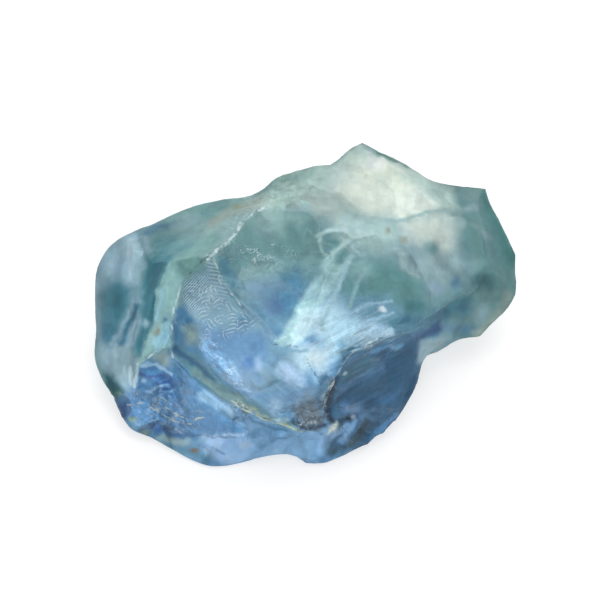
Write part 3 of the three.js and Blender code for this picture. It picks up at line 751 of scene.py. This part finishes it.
# Where each kind of marking lies, in mm on the face: its strength, then a spot's middle and radii
# or a band's line and half width.
AREAS = {
    "splintered": [
        (1, (-4.6,-3.2), (1.8,1.4)), (1, (0,-3.8), (1.6,1.2)), (1, (1.8,-3.9), (1.6,1.2)),
        (1, (-0.6,3.6), (1.4,0.9)), (1, (-2.3,-3.7), (0.8,0.9))],
    "wear_and_sheen": [
        (1, CREST_EDGE, 0.3), (0.7, BEVEL_EDGE, 0.3), (0.5, KEEL_EDGE, 0.4), (0.2, KEEL, 0.25),
        (0.7, (-4.6,-3.3), (1.9,1.3))],
    "milky": [
        (0.3, BEVEL, 0.5), (0.8, (0.4,-1.8), (1.3,1)), (0.5, (-0.5,0), (0.8,0.9)),
        (0.4, (3.2,3.1), (2.5,1.6)), (0.5, (2.1,4.4), (0.9,0.6))],
    "streaked": [(1.6, (-6,0.2), (1.9,3.6)), (0.5, (2.5,3.4), (2.4,1.8)), (0.5, (5,1.5), (2,2.5))],
    "hatched": [(1.8, (-3.3,0.3), (0.8,0.9)), (1.4, (-1.5,-2.3), (0.9,0.8))],
    "sparkling": [
        (1.3, [(-3,-1.3), (-2.4,-2.1), (-1.7,-2.6)], 0.5), (1.2, (-2,-3.4), (0.5,0.8)),
        (1.1, [(-5.2,-3.1), (-3.7,-3.8)], 0.55), (0.5, (-4.8,-2.5), (0.8,0.6)), (1, (-0.3,-3.6), (0.9,0.5)),
        (0.8, (0.3,-3.5), (0.6,0.6)), (0.5, [(-2.4,2.4), (-1.2,3.3), (-0.5,3.4)], 0.4)],
    "rayed": [(0.5, (1.7,-0.9), (2.6,1.2)), (1.1, (2,-2.2), (2,1.8))],
    "glowing": [(1, (1.4,-0.9), (2.3,1.3))],
    "combed": [(1.4, (-2.6,-2.8), (1.9,1)), (1.2, (-1,-2.4), (1.2,1))],
    "veined": [(1.4, (1.2,2.1), (1.5,0.9)), (0.7, (-0.6,3.2), (1.5,0.7))],
    "seamed": [
        (1.5, (0.7,-3), (0.7,1.2)), (1, (-0.1,-3.5), (1,0.8)), (0.8, (1.7,-3.9), (1.3,0.7)),
        (0.6, (-4.6,-3.5), (1.5,0.9))],
    "grained": [(1, (2.9,2.1), (0.9,0.5)), (0.7, (-0.9,3.2), (1.4,0.5)), (0.6, (-0.1,-3.6), (0.7,0.5))],
    # pale flecks, painted glints
    "flecked": [
        (1, (-2.3,2.2), (0.9,1)), (1, (-1.4,1.7), (1.6,1)), (1, (-2.1,-3.3), (0.8,0.7)),
        (1, (-2.4,-2), (0.9,0.7))],
}
# the most that a marking reaches where that isn't 1, and how strong some are behind the face
MOST = {"rayed": 1.2}
BEHIND = {"veined": 0.6, "flecked": 0.4}
WEAR_AND_SHEEN_ALL_OVER = 0.08
WEAR_AND_SHEEN_BEHIND = 0.25


def area(name, place):
    """How strong a marking is at each place: the sum of its spots and bands."""
    total = np.zeros(len(place))
    for strength, where, size in AREAS[name]:
        shape = spot if isinstance(size, tuple) else band
        total += strength * shape(place, where, size)
    return total


def shade(colour):
    """A display colour, 0 to 255, as the light it stands for."""
    part = np.array(colour) / 255
    return np.where(part > 0.04045, ((part + 0.055) / 1.055) ** 2.4, part / 12.92)


def zone_colours(place, front):
    """The stone's colour: teal above, blue below, and the zones over that, painted highlights and painted
    shade among them; the lower half is brightened as painted light.
    """
    border = BORDER_HEIGHT - BORDER_BEND * place[:, 0] ** 2
    low = np.clip(0.5 + (border - place[:, 1]) / BORDER_DEPTH, 0, 1)[:, None]
    colour = shade(TEAL) + (shade(BLUE) - shade(TEAL)) * low
    for zones, shown in ((DEEP, 1), (SKIN, front)):
        for shape, size, value, *pixels in zones:
            mask = shape(place, on_face(pixels), np.array(size) / PIXELS_PER_MM) * shown
            colour = colour + (shade(value) - colour) * mask[:, None]
    # the lower half is brightened here as painted light
    colour = np.maximum(colour - VEIL, colour * DARK_KEPT) * RICHNESS * (1 + LOW_PAINTED_LIGHT * low)
    strongest = colour.max(axis=1, keepdims=True)
    return colour * np.minimum(1, PALEST / strongest)


def nearest_line(place, lines):
    return np.min([gap_to(place, on_face(line)) for line in lines], axis=0)


# ---- the stone's mesh

def wandering(place, wanders):
    """Places on the face moved about a little, so that nothing drawn on it runs straight."""
    for size, seed, reach in wanders:
        flat = np.column_stack([place, np.zeros(len(place))])
        place = place + np.column_stack([soft_noise(flat, size, seed + i, reach) for i in range(2)])
    return place


def blurred(place):
    """0 in the crisp middle of the broad face, 1 at the stone's smooth, satin ends."""
    away = np.hypot(*((place - CRISP_MIDDLE) / CRISP_SHAPE).T)
    return np.clip((away - CRISP_RADIUS) / SATIN_FADE, 0, 1)


points, triangles = fine_skin("sapphire", CREASE_DEG)
face = to_face(points)
normals = point_normals(points, triangles)
outward = normals @ FACE_AXES[2]
front = np.clip(outward / FULLY_FRONT, 0, 1)
rough = np.clip(area("splintered", face[:, :2]) * front + SPLINTERED_ALL_OVER, 0, 1)
large, large_tone = shards(points, *LARGE_SPLINTERS)
small, small_tone = shards(points, *SMALL_SPLINTERS)
chips, _ = shards(points, *CREST_CHIPS)
lift = rough * (large + small) + soft_noise(points, *LONG_WAVES) + soft_noise(points, *SHORT_WAVES)
lift += band(face[:, :2], CREST_EDGE, CREST_WIDTH) * front * (chips - CREST_SUNK)
above = np.clip(points[:, 2] / FLAT_MARGIN, 0, 1)
points = points + normals * (lift * above)[:, None]
for middle, radius, move in NUDGES:
    points[:, :2] += spot(face[:, :2], middle, (radius, radius))[:, None] * move
stone = make_mesh("sapphire_stone", points, triangles)

flat = to_face(points)[:, :2]
loose = wandering(flat, LINE_WANDERS)
ridge = np.clip(bulge(points, triangles) * RIDGE_GAIN, 0, 1)
# ridges that stand out are paler, partly with wear and partly as a painted highlight
wear_and_sheen = WEAR_AND_SHEEN_ALL_OVER + WEAR_AND_SHEEN_BEHIND * (1 - front) + area("wear_and_sheen", flat)
# painted shading: each splinter's flat lighter or darker at random
tone = LARGE_SHADING * large_tone + SMALL_SHADING * small_tone - 0.5
set_attribute("rough", rough)
set_attribute("tone", np.clip(rough * SHADING_GAIN, 0, 1) * tone)
set_attribute("blurred", blurred(flat))
set_attribute("wear_and_sheen", ridge * np.clip(wear_and_sheen, 0, 1))
set_attribute("laddered", patch(flat, LADDER, LADDER_EDGE) * front)
set_attribute("printed", patch(flat, PRINTS, PRINTS_EDGE) * front)
for name, lines in (
        ("pale_gap", PALE_LINES[2:]), ("crest_gap", CREST_LINES), ("dark_gap", DARK_LINES),
        ("gold_gap", GOLD_LINES)):
    set_attribute(name, nearest_line(loose, lines) + (1 - front))
set_attribute("streaked", np.clip(area("streaked", flat), 0, 1))
for name in (
        "hatched", "sparkling", "rayed", "glowing", "combed", "veined", "seamed", "grained", "flecked"):
    strength = np.clip(area(name, flat), 0, MOST.get(name, 1))
    set_attribute(name, front * strength + (1 - front) * BEHIND.get(name, 0))
colours = zone_colours(wandering(flat, ZONE_WANDERS), front)
darkness = 1 - np.clip(colours.max(axis=1) / DARK_BELOW, 0, 1)
milky = patch(flat, on_face(STEP_FOOT), FOOT_EDGE) + area("milky", flat)
set_attribute("clear", (CLEAREST - MILKINESS * milky) * (1 - DARK_CLOUDING * darkness))
zone = stone.data.attributes.new("zone", "FLOAT_COLOR", "POINT")
zone.data.foreach_set("color", np.column_stack([colours, np.ones(len(colours))]).ravel())


# ---- material

class Graph:
    """Short forms for building the stone's material out of nodes."""

    def __init__(self, material):
        self.nodes = material.node_tree.nodes
        self.links = material.node_tree.links
        self.place = self.add(
            "Mapping", 0, {"vector_type": "TEXTURE"}, Vector=self.add("TexCoord", "Object"),
            Location=tuple(FACE_ORIGIN * MM), Rotation=(LEAN, 0, 0), Scale=(MM, MM, MM))

    def put(self, socket, value):
        if isinstance(value, bpy.types.NodeSocket):
            self.links.new(value, socket)
        elif socket.type == "RGBA":
            socket.default_value = (*value, 1)
        else:
            socket.default_value = value

    def add(self, kind, out=0, settings=(), **inputs):
        node = self.nodes.new("ShaderNode" + kind)
        for key, value in dict(settings).items():
            setattr(node, key, value)
        for key, value in inputs.items():
            if key.startswith("in"):
                self.put(node.inputs[int(key[2:])], value)
            else:
                self.put(node.inputs[key.replace("_", " ")], value)
        return node.outputs[out]

    def math(self, operation, a, b=0, c=0):
        return self.add("Math", settings={"operation": operation}, in0=a, in1=b, in2=c)

    def chain(self, operation, total, *values):
        for value in values:
            total = self.math(operation, total, value)
        return total

    def plus(self, *values):
        return self.chain("ADD", *values)

    def times(self, *values):
        return self.chain("MULTIPLY", *values)

    def highest(self, *values):
        return self.chain("MAXIMUM", *values)

    def attribute(self, name, out="Fac"):
        return self.add("Attribute", out, {"attribute_name": name})

    def span(self, value, low, high, out_low=0, out_high=1):
        """0 at low, 1 at high and smooth between them; high may be the lower of the two."""
        return self.add("MapRange", 0, {"interpolation_type": "SMOOTHSTEP"},
                        in0=value, in1=low, in2=high, in3=out_low, in4=out_high)

    def mix(self, factor, a, b, blend="MIX"):
        node = self.nodes.new("ShaderNodeMix")
        node.data_type = "RGBA"
        node.blend_type = blend
        for socket, value in zip((0, 6, 7), (factor, a, b)):
            self.put(node.inputs[socket], value)
        return node.outputs[2]

    def noise(self, place, scale, detail=3, roughness=0.6):
        return self.add("TexNoise", 0, Vector=place, Scale=scale, Detail=detail, Roughness=roughness)

    def cells(self, place, scale, out):
        return self.add("TexVoronoi", out, {"feature": "F1"}, Vector=place, Scale=scale, Randomness=1)

    def patchy(self, name):
        low, high, *noise = PATCHY[name]
        return self.span(self.noise(self.place, *noise), low, high)

    def turned(self, degrees, scale=(1, 1, 1)):
        """The place turned, and then stretched by its own scales."""
        return self.add("Mapping", 0, {"vector_type": "TEXTURE"}, Vector=self.place,
                        Rotation=(0, 0, math.radians(degrees)), Scale=tuple(1 / s for s in scale))

    def stretched(self, name):
        turn, scale, *noise = STRETCHED[name]
        return self.noise(self.turned(turn, scale), 1, *noise)

    def swing(self, name, strength, where):
        """A stretched noise about 0, where an attribute has it."""
        return self.times(self.math("SUBTRACT", self.stretched(name), 0.5), self.attribute(where), strength)

    def along_middle(self, noise, width):
        """1 on the thin lines where a noise passes its middle, 0 between them."""
        return self.span(self.math("ABSOLUTE", self.math("SUBTRACT", noise, 0.5)), width, 0)

    def thin_lines(self, name):
        *noise, width = THIN_LINES[name]
        return self.along_middle(self.noise(self.place, *noise, 0.5), width)

    def drawn_lines(self, name):
        """1 along the drawn lines of one kind, wider and narrower and broken in places."""
        strength = self.patchy(name)
        width = self.plus(self.times(strength, DRAWN_WIDTH[name]), LEAST_WIDTH)
        near = self.math("DIVIDE", self.attribute(name), width)
        return self.times(self.span(near, 1, 0.3), strength)

    def wave(self, turn, scale, distortion, detail_scale, low, high):
        bands = self.add("TexWave", 1, {"wave_type": "BANDS"}, Vector=self.turned(turn),
                         Scale=scale, Distortion=distortion, Detail=3, Detail_Scale=detail_scale)
        return self.span(bands, low, high)

    def ridges(self, scale, spacing, reach, bend, turn, spread, stir):
        """Fine ridges in short, turned bunches: 1 on a ridge, -1 in a groove."""
        stirred = self.add("TexNoise", 1, Vector=self.place, Scale=3, Detail=1)
        stirred = self.add("VectorMath", 0, {"operation": "MULTIPLY_ADD"}, in0=stirred,
                           in1=(stir, stir, stir), in2=self.place)
        middle = self.cells(stirred, scale, "Position")
        chance = self.add("SeparateColor", 0, in0=middle.node.outputs["Color"])
        angle = self.math("MULTIPLY_ADD", chance, math.radians(spread), math.radians(turn - spread / 2))
        offset = self.add("VectorMath", 0, {"operation": "SUBTRACT"}, in0=stirred, in1=middle)
        offset = self.add("VectorRotate", 0, {"rotation_type": "Z_AXIS"}, Vector=offset, Angle=angle)
        along = self.add("SeparateXYZ", 0, in0=offset)
        across = self.plus(along.node.outputs[1], self.times(along, along, bend))
        shape = self.span(self.math("ABSOLUTE", along), reach, reach / 2)
        return self.times(self.math("SINE", self.times(across, 2 * math.pi / spacing)), shape)


def marked_colour(g):
    """The stone's colour with its markings, and how strong the pale ones are."""
    at = g.attribute
    colour = at("zone", "Color")
    # clouds inside the stone, streaks at its ends and a fine mottle
    colour = g.mix(g.patchy("clouds"), colour, CLOUD_TINT, "MULTIPLY")
    streaks = g.times(g.span(g.stretched("streaks"), 0.38, 0.66), at("streaked"))
    colour = g.mix(streaks, colour, STREAK_TINT, "MULTIPLY")
    mottle = g.times(g.patchy("mottle"), g.span(at("blurred"), 0, 1, 1, SATIN_MOTTLE))
    colour = g.mix(mottle, colour, MOTTLE_TINT, "MULTIPLY")
    # silky rays, combed lines and sparkling grit, and the splinters lighter and darker at random, painted
    # shading of their little flats
    grit = g.math("SUBTRACT", g.stretched("grit"), 0.5)
    grit = g.highest(g.times(grit, GRIT_SWING), LEAST_GRIT)
    swing = g.plus(
        g.swing("silk", SILK_SWING, "rayed"), g.swing("comb", COMB_SWING, "combed"),
        g.times(at("tone"), SHADING_SWING), g.times(grit, at("sparkling")), 1)
    swing = g.math("MINIMUM", g.highest(swing, DARKEST_SWING), PALEST_SWING)
    grey = g.add("CombineColor", 0, in0=swing, in1=swing, in2=swing)
    colour = g.mix(1, colour, grey, "MULTIPLY")
    # the break's ladders and fingerprint, the glow's rays, the knot's veins, ridges pale with wear and
    # painted highlight, and flecks as painted glints
    whorls = g.ridges(scale=2.4, spacing=0.118, reach=0.3, bend=1.4, turn=-45, spread=170, stir=0.16)
    whorls = g.times(whorls, at("printed"), g.patchy("prints"))
    hatch = g.wave(turn=-42, scale=4.8, distortion=2.6, detail_scale=2, low=0.5, high=1)
    hatch = g.times(hatch, at("hatched"), g.patchy("hatching"))
    ladder = g.wave(turn=80, scale=2.8, distortion=2, detail_scale=1.2, low=0.4, high=0.9)
    marks = {
        "prints": g.highest(g.span(whorls, 0.35, 1), hatch),
        "ladder": g.times(ladder, at("laddered")),
        "rays": g.times(g.along_middle(g.stretched("rays"), RAY_WIDTH), at("glowing")),
        "veins": g.times(g.thin_lines("veins"), at("veined")),
        "wear_and_sheen": g.times(at("wear_and_sheen"), g.patchy("wear_and_sheen")),
        # flecks: painted glints
        "flecks": g.times(g.thin_lines("flecks"), at("flecked"), g.patchy("flecks")),
        "glints": g.times(g.thin_lines("glints"), at("sparkling"), g.patchy("glints")),
        "drawn": g.drawn_lines("pale_gap"),
        "crest": g.drawn_lines("crest_gap"),
    }
    # painted shade in the fingerprint's grooves, between its pale ridges
    groove_shade = g.span(whorls, -0.3, -1)
    colour = g.mix(g.times(groove_shade, SHOWN["groove_shade"]), colour, GROOVE_SHADE_COLOUR)
    pale = g.highest(*(g.times(mark, SHOWN[name]) for name, mark in marks.items()))
    colour = g.mix(pale, colour, PALE_COLOUR)
    # dark seams and cracks, golden cracks and tan grains
    seams = g.times(g.thin_lines("seams"), at("seamed"), SHOWN["seams"])
    dark = g.highest(seams, g.times(g.drawn_lines("dark_gap"), SHOWN["cracks"]))
    colour = g.mix(dark, colour, DARK_COLOUR)
    grains = g.span(g.cells(g.place, GRAIN_SCALE, "Distance"), GRAIN_SIZE, GRAIN_SIZE * 0.4)
    grains = g.times(grains, g.patchy("grains"), at("grained"))
    gold = g.highest(g.drawn_lines("gold_gap"), grains)
    return g.mix(g.times(gold, SHOWN["gold"]), colour, GOLD_COLOUR), pale


def sapphire_material():
    material = bpy.data.materials.new("sapphire")
    material.use_nodes = True
    g = Graph(material)
    at = g.attribute
    shader = g.nodes["Principled BSDF"]
    colour, pale = marked_colour(g)
    g.put(shader.inputs["Base Color"], colour)

    fine = g.noise(g.place, *RELIEF)
    relief = g.times(fine, g.span(at("rough"), 0.1, 1, 0.25, 1))
    bump = g.add("Bump", 0, Strength=BUMP_STRENGTH, Distance=BUMP_HEIGHT, Height=relief)
    g.put(shader.inputs["Normal"], bump)
    dull = g.highest(g.times(pale, MARK_DULLNESS), g.span(at("rough"), 0.2, 1, 0, BREAK_DULLNESS))
    satin = g.times(at("blurred"), SATIN_DULLNESS)
    g.put(shader.inputs["Roughness"], g.plus(dull, satin, ROUGHNESS))
    through = g.math("SUBTRACT", at("clear"), g.times(pale, MARK_CLOUDING))
    g.put(shader.inputs["Transmission Weight"], g.highest(through, LEAST_CLEAR))
    shader.inputs["IOR"].default_value = SAPPHIRE_IOR
    shader.inputs["Specular IOR Level"].default_value = SURFACE_GLOSS
    absorb = g.nodes.new("ShaderNodeVolumeAbsorption")
    absorb.inputs["Color"].default_value = (*ABSORBED_TO, 1)
    absorb.inputs["Density"].default_value = ABSORPTION
    g.links.new(absorb.outputs["Volume"], g.nodes["Material Output"].inputs["Volume"])
    return material


stone.data.materials.append(sapphire_material())
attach(stone, "root")
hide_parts("sapphire")


# ---- stage

def floor():
    mesh = bpy.data.meshes.new("floor")
    side = FLOOR_HALF_SIDE
    mesh.from_pydata(
        [(-side, -side, 0), (side, -side, 0), (side, side, 0), (-side, side, 0)], [], [(0, 1, 2, 3)])
    material = bpy.data.materials.new("floor")
    material.use_nodes = True
    shader = material.node_tree.nodes["Principled BSDF"]
    shader.inputs["Base Color"].default_value = (*[FLOOR_ALBEDO] * 3, 1)
    shader.inputs["Roughness"].default_value = FLOOR_ROUGHNESS
    shader.inputs["Specular IOR Level"].default_value = 0
    shader.inputs["Emission Color"].default_value = (1, 1, 1, 1)
    shader.inputs["Emission Strength"].default_value = FLOOR_GLOW
    mesh.materials.append(material)
    obj = add_object("floor", mesh)


def softbox(name, towards, side, power):
    light = bpy.data.lights.new(name, "AREA")
    light.shape = "SQUARE"
    light.size = side
    light.energy = power
    direction = Vector(towards).normalized()
    obj = add_object(name, light)
    obj.location = direction * LIGHT_DISTANCE
    obj.rotation_euler = direction.to_track_quat("Z", "Y").to_euler()


def surroundings():
    world = bpy.data.worlds.new("studio")
    bpy.context.scene.world = world
    world.use_nodes = True
    background = world.node_tree.nodes["Background"]
    background.inputs["Color"].default_value = (1, 1, 1, 1)
    background.inputs["Strength"].default_value = WORLD_LIGHT


def camera():
    """Looks along the broad face's normal, from far off as a macro lens does."""
    cam = bpy.data.cameras.new("camera")
    cam.lens = LENS
    cam.sensor_width = SENSOR
    cam.clip_start = 0.01
    cam.clip_end = 10
    obj = add_object("camera", cam)
    distance = PHOTO_WIDTH / PIXELS_PER_MM * LENS / SENSOR
    place = (FACE_ORIGIN + (*on_face(MIDDLE_PIXEL), distance) @ FACE_AXES) * MM
    obj.matrix_world = Matrix.Translation(place) @ Matrix(FACE_AXES.T.tolist()).to_4x4()
    bpy.context.scene.camera = obj


floor()
surroundings()
softbox("key", *KEY_LIGHT)
softbox("fill", *FILL_LIGHT)
camera()
bpy.context.scene.view_settings.view_transform = "Standard"
